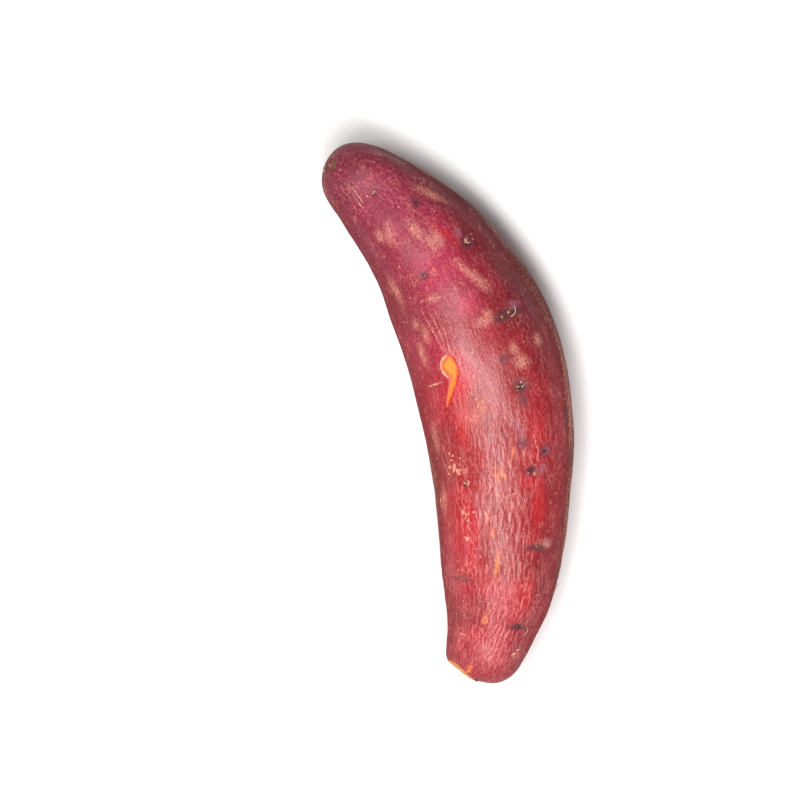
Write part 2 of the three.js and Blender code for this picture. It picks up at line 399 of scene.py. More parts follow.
class Skin:
    """The grid over the root: its points and the measures that its forms and marks are placed by."""

    def __init__(self):
        tree = packed_root()
        centres, directions, lean = spread_to_rows(*axis_curve(tree))
        turn = np.radians(SEAM_TURN + 360 * np.arange(COLUMNS) / COLUMNS)
        level = np.cross([0, 0, 1], directions)
        level /= np.linalg.norm(level, axis=1, keepdims=True)
        upright = np.cross(directions, level)
        outward = (
            np.cos(turn)[None, :, None] * level[:, None, :]
            + np.sin(turn)[None, :, None] * upright[:, None, :]
        )
        tilt = lean[:, None, None]
        rays = np.cos(tilt) * outward + np.sin(tilt) * directions[:, None, :]
        reach = np.array([
            [tree.ray_cast(Vector(centres[i]), Vector(rays[i, j]))[3] for j in range(COLUMNS)]
            for i in range(ROWS)
        ])
        reach = blur_over_grid(reach, *FACET_BLUR)
        self.points = centres[:, None, :] + reach[..., None] * rays
        self.turn = np.degrees(turn)[None, :] + np.zeros((ROWS, 1))
        self.directions = directions
        steps = np.linalg.norm(np.diff(self.points.mean(axis=1), axis=0), axis=1)
        self.station = (centres[:, 0] + np.sin(lean) * reach.mean(axis=1)) / MM
        self.along = np.concatenate([[0], np.cumsum(steps)])[:, None] + np.zeros((1, COLUMNS))
        girth = np.cos(lean)[:, None] * reach
        self.straight = np.stack([self.along, girth * np.cos(turn), girth * np.sin(turn)], axis=-1)
        self.normals = slope_normals(self.points)
        self.base = self.points.copy()
        self.marks = {}

    def row_of(self, x):
        return float(np.interp(x, self.station, np.arange(ROWS)))

    def column_of(self, turn):
        return (turn - SEAM_TURN) / 360 * COLUMNS % COLUMNS

    def sample(self, field, x, turn):
        """A field's value at a place on the skin, between the four points of the grid around it."""
        row, column = self.row_of(x), self.column_of(turn)
        low_row = min(int(row), ROWS - 2)
        low_column = int(column)
        down, across = row - low_row, column - low_column
        next_column = (low_column + 1) % COLUMNS
        near = field[low_row, low_column] * (1 - across) + field[low_row, next_column] * across
        far = field[low_row + 1, low_column] * (1 - across) + field[low_row + 1, next_column] * across
        return near * (1 - down) + far * down

    def frame_at(self, x, turn):
        """The skin's directions at a place: towards the crown, round the root and outward."""
        normal = self.sample(self.normals, x, turn)
        normal /= np.linalg.norm(normal)
        ahead = self.directions[int(round(self.row_of(x)))]
        ahead = ahead - (ahead @ normal) * normal
        ahead /= np.linalg.norm(ahead)
        return ahead, np.cross(ahead, normal), normal

    def offsets_from(self, x, turn):
        """How far each point lies from a place on the skin, along and around it, in millimetres."""
        ahead, aside, normal = self.frame_at(x, turn)
        offset = (self.base - self.sample(self.base, x, turn)) / MM
        near = abs(offset @ normal) < SAME_SIDE
        return np.where(near, offset @ ahead, FAR_AWAY), np.where(near, offset @ aside, FAR_AWAY)

    def raise_by(self, height):
        """Moves the skin out along its normals by a height in millimetres at each point."""
        self.points = self.points + self.normals * height[..., None] * MM

    def noise(self, size, seed, stretch=1.0):
        """Noise on the straightened root, with lumps of a size in millimetres, stretched along it.

        The seed tells one noise from another.
        """
        return cloud(self.straight / np.array([stretch, 1, 1]), size * MM, seed)


# ---------------------------------------------------------------- marks


OUTSIDE = -3.0  # a mark's level far outside it, in millimetres


def spot_level(skin, x, turn, along, around, lean=0):
    """How far inside a leaning oval each point lies, in millimetres, and less than 0 outside it."""
    ahead, aside = skin.offsets_from(x, turn)
    c, s = math.cos(math.radians(lean)), math.sin(math.radians(lean))
    share = np.hypot((ahead * c + aside * s) / along, (aside * c - ahead * s) / around)
    return (1 - share) * min(along, around)


def trail_level(skin, stops):
    """How far inside a thin mark each point lies, in millimetres, and less than 0 outside it."""
    level = np.full((ROWS, COLUMNS), OUTSIDE)
    for (x, turn, width), (next_x, next_turn, next_width) in zip(stops, stops[1:]):
        start = skin.sample(skin.base, x, turn)
        span = skin.sample(skin.base, next_x, next_turn) - start
        share = np.clip((skin.base - start) @ span / (span @ span), 0, 1)
        gap = np.linalg.norm(skin.base - start - share[..., None] * span, axis=-1) / MM
        level = np.maximum(level, width + (next_width - width) * share - gap)
    return level


def joined(levels):
    """One mark's level, from the levels of its parts."""
    return np.maximum(np.max(levels, axis=0), OUTSIDE)


def mark_spots_and_trails(skin):
    for name, spots in SPOTS.items():
        skin.marks[name] = joined([spot_level(skin, *spot) for spot in spots])
    for name, trails in TRAILS.items():
        skin.marks[name] = joined([trail_level(skin, stops) for stops in trails])
    skin.marks["pulp"] = skin.marks["flesh"] - PULP_INSET
    skin.marks["rim"] = trail_level(skin, RIM_STOPS)


# The zones are broad shares of colour, from 0 to 1. Their edges are given as ranges of x and turn,
# and noise moves the skin's places about first, so that no edge runs straight.


def wandering_place(skin):
    x = skin.station[:, None] + 9 * skin.noise(24, 51) + 4 * skin.noise(8, 52)
    turn = skin.turn + 7 * skin.noise(20, 53, 2.0) + 5 * skin.noise(6, 54, 2.0)
    return x, turn


def mark_reds(skin, x, turn, body):
    """Where the skin is magenta, deep crimson or rosy. The deep mark on the flanks is partly the
    skin's own crimson and partly painted shade.
    """
    outer_side = band(turn, (104, 132), (200, 240))
    hollow_side = 1 - soft_step(14, 64, turn)
    below = hump(skin.turn + 90, 60) + hump(skin.turn - 270, 60)
    sides = np.maximum(
        outer_side * (0.50 + 0.50 * soft_step(-14, 26, x)),
        hollow_side * (0.30 + 0.14 * soft_step(-86, -50, x) + 0.14 * soft_step(20, 50, x)),
    )
    skin.marks["magenta"] = soft_step(-18, 46, x) * (1 - 0.5 * outer_side)
    # deep: darker on both flanks, partly the skin's crimson and partly painted shade; it darkens the
    # underside and the ends too.
    skin.marks["deep"] = np.maximum(sides, 0.35 * below) * body + 0.3 * (1 - body)
    skin.marks["rosy"] = 1 - soft_step(-84, -34, x)


def mark_dust(skin, x, turn, body, crown, tail):
    """Where tan dust lies: on both rims, in a few patches and at the ends. On the rims its tan is
    partly a painted reflection, and the pale rim along the outer edge is a painted reflection.
    """
    hollow_edge = (2, 42 - 12 * soft_step(-60, 0, x))
    hollow_rim = band(turn, (-56, 6), hollow_edge)
    outer_rim = band(turn, (138, 166), (172, 226))
    rims = np.maximum(hollow_rim, outer_rim) * body
    rim_dust_and_reflection = rims * (0.30 + 0.62 * soft_step(-0.5, 0.6, skin.noise(9, 57, 2.6)))
    patches = soft_step(0.05, 0.7, skin.noise(17, 55, 1.6) + 0.4 * skin.noise(7, 56))
    patches = patches * (1 - 0.6 * soft_step(48, 74, x))
    ends = 0.12 * crown + 0.2 * tail
    skin.marks["dusty"] = np.clip(rim_dust_and_reflection + 0.45 * patches * (1 - rims) + ends, 0, 1)
    # The pale rim: a broken light band along the outer edge, a painted reflection.
    ridge = band(turn, (146, 162), (164, 192)) * soft_step(-92, -40, x)
    broken = 0.5 + 0.5 * soft_step(-0.5, 0.4, skin.noise(8, 58, 2.2))
    skin.marks["painted_rim_reflection"] = ridge * body * broken


def mark_zones(skin):
    x, turn = wandering_place(skin)
    crown = soft_step(78, 94, x)
    tail = 1 - soft_step(-94, -85, x)
    body = band(skin.station[:, None], (-92, -82), (80, 91))
    mark_reds(skin, x, turn, body)
    mark_dust(skin, x, turn, body, crown, tail)
    flanks = np.maximum(1 - soft_step(14, 52, turn), soft_step(122, 160, turn))
    skin.marks["matte"] = np.maximum(flanks * body + 0.5 * (1 - body), 0.4 * soft_step(58, 78, x))
    skin.marks["dull"] = np.clip(0.9 * crown + 0.75 * soft_step(48, 72, x) + 0.4 * tail, 0, 1)


# ---------------------------------------------------------------- forms of the skin


# Two families of folds: how many lie round the root, how long each runs in millimetres, how much
# their spacing varies, how far they waver, and the seed.
BROAD_FOLDS = (66, 6.0, 20, 0.9, 11)
FINE_FOLDS = (88, 3.6, 24, 0.9, 17)
FINE_SHARE = 0.7
FOLD_HEIGHT = 0.085
FOLD_BLUR = (0.6, 0.6)  # rows and columns

# Slow lumps of the flesh: height, size, seed, stretch along the root.
LUMPS = [(0.40, 26, 3, 1.5), (0.24, 11, 5, 1.4), (0.09, 5, 7, 1.0)]

# An eye's proportions, as shares of its size.
BOWL_DEPTH = 0.16
BOWL_REACH = 2.2
PIT_DEPTH = 0.42
PIT_REACH = 0.85
BROW_AHEAD = 1.5

# A scar's lips as a share of its depth, how it wavers as a share of its length along the root, and
# how it bows across the root, in millimetres for each square millimetre.
LIP_SHARE = 0.6
SCAR_WAVER = 0.25
SCAR_BOW = 0.03

# The torn patch: how deep the flesh lies and how far the skin's edge and its crust stand up.
TORN_DEPTH = 0.30
TORN_EDGE = 0.14
TORN_CRUST = 0.16

GRAIN_SIZES = (0.6, 1.25)  # the smallest and largest grain, as shares of its cluster's radius
GRAIN_HEIGHT = 0.34  # as a share of its radius


def folds(skin, count, length, spread, sway, seed):
    """Fold crests that run along the root and part and join: -1 in a valley and 1 on a crest."""
    rng = np.random.default_rng(seed)
    field = rng.normal(size=(ROWS, COLUMNS)) + 1j * rng.normal(size=(ROWS, COLUMNS))
    row_step = float(skin.along[-1, 0]) / ROWS / MM
    down = np.fft.fftfreq(ROWS)[:, None] / row_step * length
    across = (np.fft.fftfreq(COLUMNS)[None, :] * COLUMNS - count) / spread
    wave = np.fft.ifft2(np.fft.fft2(field) * np.exp(-(down**2) / 2 - across**2 / 2))
    wave = sway_columns(skin, wave, sway, seed)
    strength = np.clip(abs(wave) / abs(wave).mean(), 0, 1.5)
    return np.cos(np.angle(wave)) * strength


def sway_columns(skin, field, sway, seed):
    """Shifts a field round the root by a slow noise, so that its lines waver."""
    shift = sway * (5.0 * skin.noise(19, seed + 1, 1.6) + 1.5 * skin.noise(6, seed + 2, 1.2))
    place = np.arange(COLUMNS)[None, :] + shift
    low = np.floor(place).astype(int)
    part = place - low
    rows = np.arange(ROWS)[:, None]
    return field[rows, low % COLUMNS] * (1 - part) + field[rows, (low + 1) % COLUMNS] * part


def fold_strength(skin):
    """How deep the skin's wrinkles are: most on the tail half's top, least under the crown."""
    station = skin.station[:, None]
    tail_half = 1 - soft_step(-46, 8, station)
    top = 0.6 + 0.4 * hump(skin.turn - 96, 48)
    patches = np.clip(0.72 + 0.7 * skin.noise(13, 31, 2.2), 0.12, 1.4)
    return (0.17 + 0.86 * tail_half * top) * patches * band(station, (-94, -86), (82, 92))


def shape_folds(skin):
    strength = fold_strength(skin)
    crest = folds(skin, *BROAD_FOLDS) + FINE_SHARE * folds(skin, *FINE_FOLDS)
    crest = blur_over_grid(crest, *FOLD_BLUR)
    smooth = 1 - 0.9 * soft_step(-1.2, 0.6, skin.marks["flesh"])
    colour_strength = np.clip(strength * 1.25, 0, 1.1) * smooth
    skin.marks["wrinkled"] = np.clip(strength, 0, 1) * smooth
    # The crest mark tints crests pale pink and valleys dark red in the shader: partly the skin's own
    # colour, partly a painted highlight on the crests and painted shade in the valleys.
    skin.marks["crest"] = np.clip(0.5 + 0.33 * crest * colour_strength, 0, 1)
    skin.raise_by(FOLD_HEIGHT * strength * crest * smooth)


def shape_lumps(skin):
    for height, size, seed, stretch in LUMPS:
        skin.raise_by(height * skin.noise(size, seed, stretch))


def shape_eyes(skin):
    """Each eye is a pit in a shallow bowl, under a brow on the crown's side of it."""
    pits = np.full((ROWS, COLUMNS), OUTSIDE)
    for x, turn, size, brow in EYES:
        ahead, aside = skin.offsets_from(x, turn)
        far = np.hypot(ahead, aside)
        arch = ahead - BROW_AHEAD * size + 0.12 * aside**2 / size
        ridge = brow * hump(arch, 0.7 * size) * hump(aside, 1.8 * size)
        bowl = BOWL_DEPTH * size * hump(far, BOWL_REACH * size)
        pit = PIT_DEPTH * size * hump(np.hypot(ahead / 0.75, aside), PIT_REACH * size)
        skin.raise_by(ridge - bowl - pit)
        pits = np.maximum(pits, 0.75 * size - np.hypot(ahead / 0.8, aside))
    skin.marks["pit"] = pits


def shape_scars(skin):
    """Each scar is a groove across the root, with a lip along both sides."""
    marks = np.full((ROWS, COLUMNS), OUTSIDE)
    for x, turn, along, around, depth in SCARS:
        ahead, aside = skin.offsets_from(x, turn)
        bent = ahead + SCAR_WAVER * along * skin.noise(2.4, 61) + SCAR_BOW * aside**2
        groove = depth * hump(bent, 0.6 * along)
        lips = LIP_SHARE * depth * hump(abs(bent) - 1.1 * along, 0.45 * along)
        skin.raise_by((lips - groove) * hump(aside, 0.8 * around))
        share = np.hypot(bent / along, aside / around)
        marks = np.maximum(marks, (1 - share) * along)
    skin.marks["scar"] = marks


def shape_torn_patch(skin):
    """The skin is gone where the flesh shows, and its edge curls up a little."""
    level = skin.marks["flesh"]
    sunk = TORN_DEPTH * soft_step(-0.15, 0.45, level)
    edge = TORN_EDGE * hump(level + 0.35, 0.35)
    bits = 0.6 + 0.6 * skin.noise(1.2, 71)
    crust = TORN_CRUST * soft_step(-0.3, 0.4, skin.marks["rim"]) * bits
    skin.raise_by(edge + crust - sunk)


def shape_grains(skin):
    rng = np.random.default_rng(23)
    grains = np.full((ROWS, COLUMNS), OUTSIDE)
    for x, turn, along, around, count, radius in GRAIN_CLUSTERS:
        ahead, aside = skin.offsets_from(x, turn)
        for _ in range(count):
            size = radius * rng.uniform(*GRAIN_SIZES)
            far = np.hypot(ahead - rng.normal(0, along / 2), aside - rng.normal(0, around / 2))
            skin.raise_by(GRAIN_HEIGHT * size * hump(far, size))
            grains = np.maximum(grains, size - far)
    skin.marks["grains"] = grains


def shape_end_scar(skin):
    """The stalk's scar is a shallow dish with a raised lip."""
    ahead, aside = skin.offsets_from(*STALK_SCAR)
    far = np.hypot(ahead, 0.8 * aside) + 0.8 * skin.noise(2.5, 91)
    skin.raise_by(0.45 * hump(far - 2.6, 1.0) - 0.6 * hump(far, 1.8))
    skin.marks["stalk"] = np.maximum(STALK_RADIUS - far, OUTSIDE)


def tail_cut_level(skin):
    """How far along the cut's normal its plane lies."""
    tail = skin.base[skin.station < TAIL_END].reshape(-1, 3)
    near = tail[abs(tail[:, 2] - TAIL_CUT_HEIGHT * MM) < 1.5 * MM]
    return (near @ TAIL_CUT_NORMAL).max() - TAIL_CUT_DEPTH * MM


def rest_and_trim(skin):
    """Presses the skin flat where it rests, and cuts it off at the knife's plane."""
    skin.points[..., 2] = np.maximum(skin.points[..., 2], 0)
    beyond = skin.points @ TAIL_CUT_NORMAL - tail_cut_level(skin)
    beyond[skin.station > TAIL_CUT_LIMIT] = OUTSIDE * MM
    ragged = (0.42 * skin.noise(3.4, 81) + 0.16 * skin.noise(1.2, 82)) * MM
    over = np.maximum(beyond - ragged, 0)
    skin.points -= over[..., None] * TAIL_CUT_NORMAL
    skin.marks["cut"] = np.clip((beyond - ragged) / MM, OUTSIDE, -OUTSIDE)
    skin.marks["core"] = skin.marks["cut"] - CORE_INSET


# ---------------------------------------------------------------- meshes


def skin_mesh(skin):
    """The grid closed with a point at each pole."""
    points = skin.points.reshape(-1, 3)
    poles = [skin.points[0].mean(axis=0), skin.points[-1].mean(axis=0)]
    tail, crown = len(points), len(points) + 1
    rows, columns = np.meshgrid(np.arange(ROWS - 1), np.arange(COLUMNS), indexing="ij")
    after = (columns + 1) % COLUMNS
    here, there = rows * COLUMNS, (rows + 1) * COLUMNS
    quads = np.stack([here + columns, here + after, there + after, there + columns], axis=-1)
    faces = quads.reshape(-1, 4).tolist()
    last = (ROWS - 1) * COLUMNS
    for i in range(COLUMNS):
        faces.append([tail, (i + 1) % COLUMNS, i])
        faces.append([crown, last + i, last + (i + 1) % COLUMNS])
    mesh = bpy.data.meshes.new("sweet_potato_skin")
    mesh.from_pydata(np.concatenate([points, poles]).tolist(), [], faces)
    mesh.polygons.foreach_set("use_smooth", [True] * len(faces))
    lay_out_map(mesh)
    return mesh


def lay_out_map(mesh):
    """One island: across the map is round the root, and up the map is along it."""
    corners = []
    for row in range(ROWS - 1):
        low, high = (row + 1) / (ROWS + 1), (row + 2) / (ROWS + 1)
        for column in range(COLUMNS):
            left, right = column / COLUMNS, (column + 1) / COLUMNS
            corners += [left, low, right, low, right, high, left, high]
    for column in range(COLUMNS):
        left, right = column / COLUMNS, (column + 1) / COLUMNS
        middle = (left + right) / 2
        corners += [middle, 0, right, 1 / (ROWS + 1), left, 1 / (ROWS + 1)]
        corners += [middle, 1, left, ROWS / (ROWS + 1), right, ROWS / (ROWS + 1)]
    mesh.uv_layers.new(name="OFBake").data.foreach_set("uv", corners)


def store_marks(skin, mesh):
    """Puts each mark on the mesh as an attribute, with the straightened place of each point."""
    for name, values in skin.marks.items():
        values = np.append(values.ravel(), [values[0].mean(), values[-1].mean()])
        mesh.attributes.new(name, "FLOAT", "POINT").data.foreach_set("value", values)
    ends = [skin.straight[0].mean(axis=0), skin.straight[-1].mean(axis=0)]
    places = np.concatenate([skin.straight.reshape(-1, 3), ends]) / MM
    mesh.attributes.new("straight", "FLOAT_VECTOR", "POINT").data.foreach_set("vector", places.ravel())


def add_piece(name, mesh, material):
    mesh.materials.append(material)
    piece = bpy.data.objects.new(name, mesh)
    bpy.context.scene.collection.objects.link(piece)
    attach(piece, "root")
    return piece


def make_skin():
    skin = Skin()
    mark_spots_and_trails(skin)
    mark_zones(skin)
    shape_lumps(skin)
    shape_folds(skin)
    shape_eyes(skin)
    shape_scars(skin)
    shape_torn_patch(skin)
    shape_grains(skin)
    shape_end_scar(skin)
    rest_and_trim(skin)
    mesh = skin_mesh(skin)
    store_marks(skin, mesh)
    body = add_piece("sweet_potato_skin", mesh, skin_material())
    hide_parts("sweet_potato")
    return skin, body


def hair_line(skin, tree, x, turn, heading, lift, length, curl, radius):
    """Points along a root hair, which leaves the skin at a slant and then lies along it."""
    ahead, aside, normal = skin.frame_at(x, turn)
    start = skin.sample(skin.points, x, turn) - HAIR_SINK * radius * MM * normal
    points = [start]
    for step in range(HAIR_STEPS):
        share = step / (HAIR_STEPS - 1)
        angle = math.radians(heading + curl * share)
        rise = math.radians(lift * (1 - 0.9 * share) + HAIR_SPRING * (1 - share) ** 3)
        level = math.cos(angle) * ahead + math.sin(angle) * aside
        way = math.cos(rise) * level + math.sin(rise) * normal
        points.append(clear_of_skin(tree, points[-1] + way * length * MM / HAIR_STEPS, radius * MM))
    return np.array(points)


def clear_of_skin(tree, point, clearance):
    """The point, moved out where it is nearer the skin than the clearance or inside it."""
    nearest, normal, _, _ = tree.find_nearest(Vector(point))
    height = (Vector(point) - nearest).dot(normal)
    return point + max(0.0, clearance - height) * np.array(normal)


def tube(line, radii):
    """The points and faces of a closed tube along a line."""
    ways = np.gradient(line, axis=0)
    ways /= np.linalg.norm(ways, axis=1, keepdims=True)
    side = np.cross(ways, [0.31, 0.17, 0.93])
    side /= np.linalg.norm(side, axis=1, keepdims=True)
    other = np.cross(ways, side)
    angles = 2 * math.pi * np.arange(HAIR_SIDES) / HAIR_SIDES
    rings = line[:, None] + radii[:, None, None] * (
        np.cos(angles)[None, :, None] * side[:, None] + np.sin(angles)[None, :, None] * other[:, None]
    )
    faces = [list(range(HAIR_SIDES))[::-1]]
    for ring in range(len(line) - 1):
        for i in range(HAIR_SIDES):
            after = (i + 1) % HAIR_SIDES
            low, high = ring * HAIR_SIDES, (ring + 1) * HAIR_SIDES
            faces.append([low + i, low + after, high + after, high + i])
    faces.append([(len(line) - 1) * HAIR_SIDES + i for i in range(HAIR_SIDES)])
    return rings.reshape(-1, 3), faces


def make_hairs(skin, body):
    points, faces, paleness = [], [], []
    tree = BVHTree.FromObject(body, bpy.context.evaluated_depsgraph_get())
    share = np.linspace(0, 1, HAIR_STEPS + 1)
    for x, turn, heading, lift, length, curl, radius, pale in HAIRS:
        line = hair_line(skin, tree, x, turn, heading, lift, length, curl, radius)
        line[:, 2] = np.maximum(line[:, 2], radius * MM)
        ring_points, ring_faces = tube(line, radius * MM * (1 - HAIR_TAPER * share**2))
        faces += [[len(points) + i for i in face] for face in ring_faces]
        points += ring_points.tolist()
        paleness += [pale] * len(ring_points)
    mesh = bpy.data.meshes.new("rootlets")
    mesh.from_pydata(points, [], faces)
    mesh.polygons.foreach_set("use_smooth", [True] * len(faces))
    mesh.attributes.new("pale", "FLOAT", "POINT").data.foreach_set("value", paleness)
    add_piece("rootlets", mesh, hair_material())


# ---------------------------------------------------------------- materials


def srgb(red, green, blue):
    """A colour given as 0 to 255 as it looks on a screen, in the shader's linear terms."""
    shares = [c / 255 for c in (red, green, blue)]
    return tuple(s / 12.92 if s <= 0.04045 else ((s + 0.055) / 1.055) ** 2.4 for s in shares) + (1.0,)


def add_node(tree, kind, inputs=None, **settings):
    node = tree.nodes.new(kind)
    for name, value in settings.items():
        setattr(node, name, value)
    for key, value in (inputs or {}).items():
        if isinstance(value, bpy.types.NodeSocket):
            tree.links.new(value, node.inputs[key])
        else:
            node.inputs[key].default_value = value
    return node


def mark(tree, name):
    return add_node(tree, "ShaderNodeAttribute", attribute_name=name).outputs["Fac"]


def mix(tree, share, low, high):
    return add_node(tree, "ShaderNodeMix", {0: share, 6: low, 7: high}, data_type="RGBA").outputs[2]


def mix_value(tree, share, low, high):
    return add_node(tree, "ShaderNodeMix", {0: share, 2: low, 3: high}, data_type="FLOAT").outputs[0]


def maths(tree, operation, first, second=0.0, third=0.0):
    return add_node(
        tree, "ShaderNodeMath", {0: first, 1: second, 2: third}, operation=operation
    ).outputs[0]


def ramp(tree, value, low, high, to_low=0.0, to_high=1.0):
    node = add_node(
        tree,
        "ShaderNodeMapRange",
        {0: value, 1: low, 2: high, 3: to_low, 4: to_high},
        interpolation_type="SMOOTHSTEP",
    )
    return node.outputs[0]


def tint(tree, colour, pattern, start, full, cover, paint):
    """Lays a paint over a colour as a pattern goes from one value to another, up to its cover."""
    return mix(tree, ramp(tree, pattern, start, full, 0.0, cover), colour, paint)


def straight_place(tree, stretch):
    """A place on the straightened root in millimetres, squeezed along it to stretch a noise."""
    place = add_node(tree, "ShaderNodeAttribute", attribute_name="straight").outputs["Vector"]
    inputs = {"Vector": place, "Scale": (1 / stretch, 1, 1)}
    return add_node(tree, "ShaderNodeMapping", inputs).outputs[0]


def grain(tree, size, stretch=1.0, detail=3.0, roughness=0.55, distortion=0.0):
    """Noise on the straightened root, with lumps of a size in millimetres, stretched along it."""
    inputs = {
        "Vector": straight_place(tree, stretch), "Scale": 1 / size, "Detail": detail,
        "Roughness": roughness, "Distortion": distortion,
    }
    return add_node(tree, "ShaderNodeTexNoise", inputs).outputs["Fac"]


def cells(tree, size, stretch, feature):
    """Distance from cells of a size in millimetres on the straightened root, as a share of a cell."""
    inputs = {"Vector": straight_place(tree, stretch), "Scale": 1 / size}
    return add_node(tree, "ShaderNodeTexVoronoi", inputs, feature=feature).outputs["Distance"]


ORANGE_RED = srgb(176, 20, 32)
MAGENTA = srgb(168, 35, 70)
DEEP_CRIMSON_AND_SHADE = srgb(94, 9, 22)
# The pink below is partly the skin's own and partly a painted highlight on crests; the valley red is
# partly the skin's own and partly painted shade in valleys.
PINK_AND_CREST_HIGHLIGHT = srgb(230, 116, 118)
RED_AND_VALLEY_SHADE = srgb(146, 10, 22)
# The dust's tan is lightened as a partly painted reflection on the rims, and the rim tan two lines
# below is a painted reflection.
DUST_TAN_AND_REFLECTION = srgb(204, 138, 114)
DUST_BROWN = srgb(94, 24, 28)
RIM_REFLECTION_TAN = srgb(208, 150, 130)
HAIR_DARK = srgb(52, 26, 26)
HAIR_PALE = srgb(238, 196, 160)
HAIR_BARK = srgb(120, 70, 50)
FLOOR_WHITE = srgb(240, 239, 238)

SATIN_ROUGHNESS = (0.30, 0.42)  # it varies between these on the shining top
MATTE_ROUGHNESS = 0.85
SATIN_SPECULAR = 0.5
MATTE_SPECULAR = 0.2

# Noises on the skin: size in millimetres, stretch along the root, detail, roughness, distortion.
SKIN_NOISES = {
    "fine": (0.9, 1.3, 4.0, 0.6, 0.0),
    "speck": (0.55, 1.0, 3.0, 0.7, 0.0),
    "streak": (0.75, 7.0, 3.0, 0.6, 0.4),
    "blotch": (7.0, 1.6, 4.0, 0.6, 0.0),
}

# Relief that is finer than the mesh: the pattern, and how far it stands up in millimetres.
RELIEF = [("fine", 0.08), ("streak", 0.10), ("ridge", 0.09), ("speck", 0.05)]
CRUST_GAIN = 2.5
DULL_PLUM = srgb(110, 27, 56)
DULL_ROSE = srgb(160, 54, 63)
PALE_NET = srgb(226, 138, 124)

# Coloured marks over the skin, lowest first: the mark, its colour, how much it covers, the noise
# that breaks its edge up and how far that moves the edge, the edge's softness, the roughness, and
# how far the crust on it stands up. Lengths are in millimetres.
LAYERS = [
    ("glow", srgb(216, 34, 24), 0.30, "blotch", 6.0, 2.6, 0.34, 0.0),
    ("bruise", srgb(84, 22, 40), 0.74, "fine", 4.5, 1.6, 0.60, 0.0),
    ("lilac", srgb(156, 100, 118), 0.42, "fine", 4.0, 1.2, 0.45, 0.0),
    # The pale scuff patches, partly a painted highlight on the top of the crown half.
    ("scuff_and_highlight", srgb(228, 150, 130), 0.56, "hatch", 12.0, 2.6, 0.50, 0.05),
    ("orange", srgb(240, 134, 70), 0.66, "fine", 2.8, 0.70, 0.42, 0.0),
    ("amber", srgb(240, 120, 60), 0.80, "fine", 0.8, 0.25, 0.42, 0.03),
    ("cream", srgb(236, 172, 148), 0.62, "speck", 1.2, 0.20, 0.50, 0.04),
    ("scar", srgb(96, 44, 46), 0.74, "speck", 5.0, 0.90, 0.62, 0.14),
    ("stalk", srgb(138, 92, 66), 0.85, "speck", 6.0, 1.00, 0.72, 0.16),
    ("pit", srgb(52, 16, 22), 0.88, "speck", 3.6, 0.50, 0.60, 0.06),
    ("grains", srgb(234, 166, 132), 0.88, "fine", 0.8, 0.25, 0.55, 0.03),
    ("rim", srgb(236, 170, 142), 0.80, "speck", 2.4, 0.30, 0.60, 0.08),
    ("flesh", srgb(224, 92, 22), 0.97, "fine", 0.9, 0.12, 0.40, 0.05),
    ("pulp", srgb(250, 140, 44), 0.90, "fine", 3.0, 0.60, 0.42, 0.05),
    ("cut", srgb(216, 112, 30), 0.96, "speck", 1.4, 0.15, 0.50, 0.12),
    ("core", srgb(246, 164, 62), 0.88, "fine", 3.4, 0.90, 0.46, 0.14),
]


def ridges(tree):
    """Thin crests that run along the root and join, strongest where the skin is wrinkled most."""
    noise = grain(tree, 2.0, 4.5, 2.0, 0.5, 0.6)
    gap = maths(tree, "ABSOLUTE", maths(tree, "SUBTRACT", noise, 0.5))
    crests = ramp(tree, gap, 0.045, 0.0)
    return maths(tree, "MULTIPLY", crests, ramp(tree, mark(tree, "wrinkled"), 0.1, 0.7, 0.15, 1.0))


def hatching(tree):
    """Specks crossed by a net of thin lines."""
    net = ramp(tree, cells(tree, 0.7, 2.2, "DISTANCE_TO_EDGE"), 0.22, 0.04, -0.10, 0.10)
    return maths(tree, "ADD", net, grain(tree, 0.45, 2.4, 3.0, 0.75))


def skin_noises(tree):
    noises = {name: grain(tree, *shape) for name, shape in SKIN_NOISES.items()}
    noises["ridge"] = ridges(tree)
    noises["hatch"] = hatching(tree)
    return noises


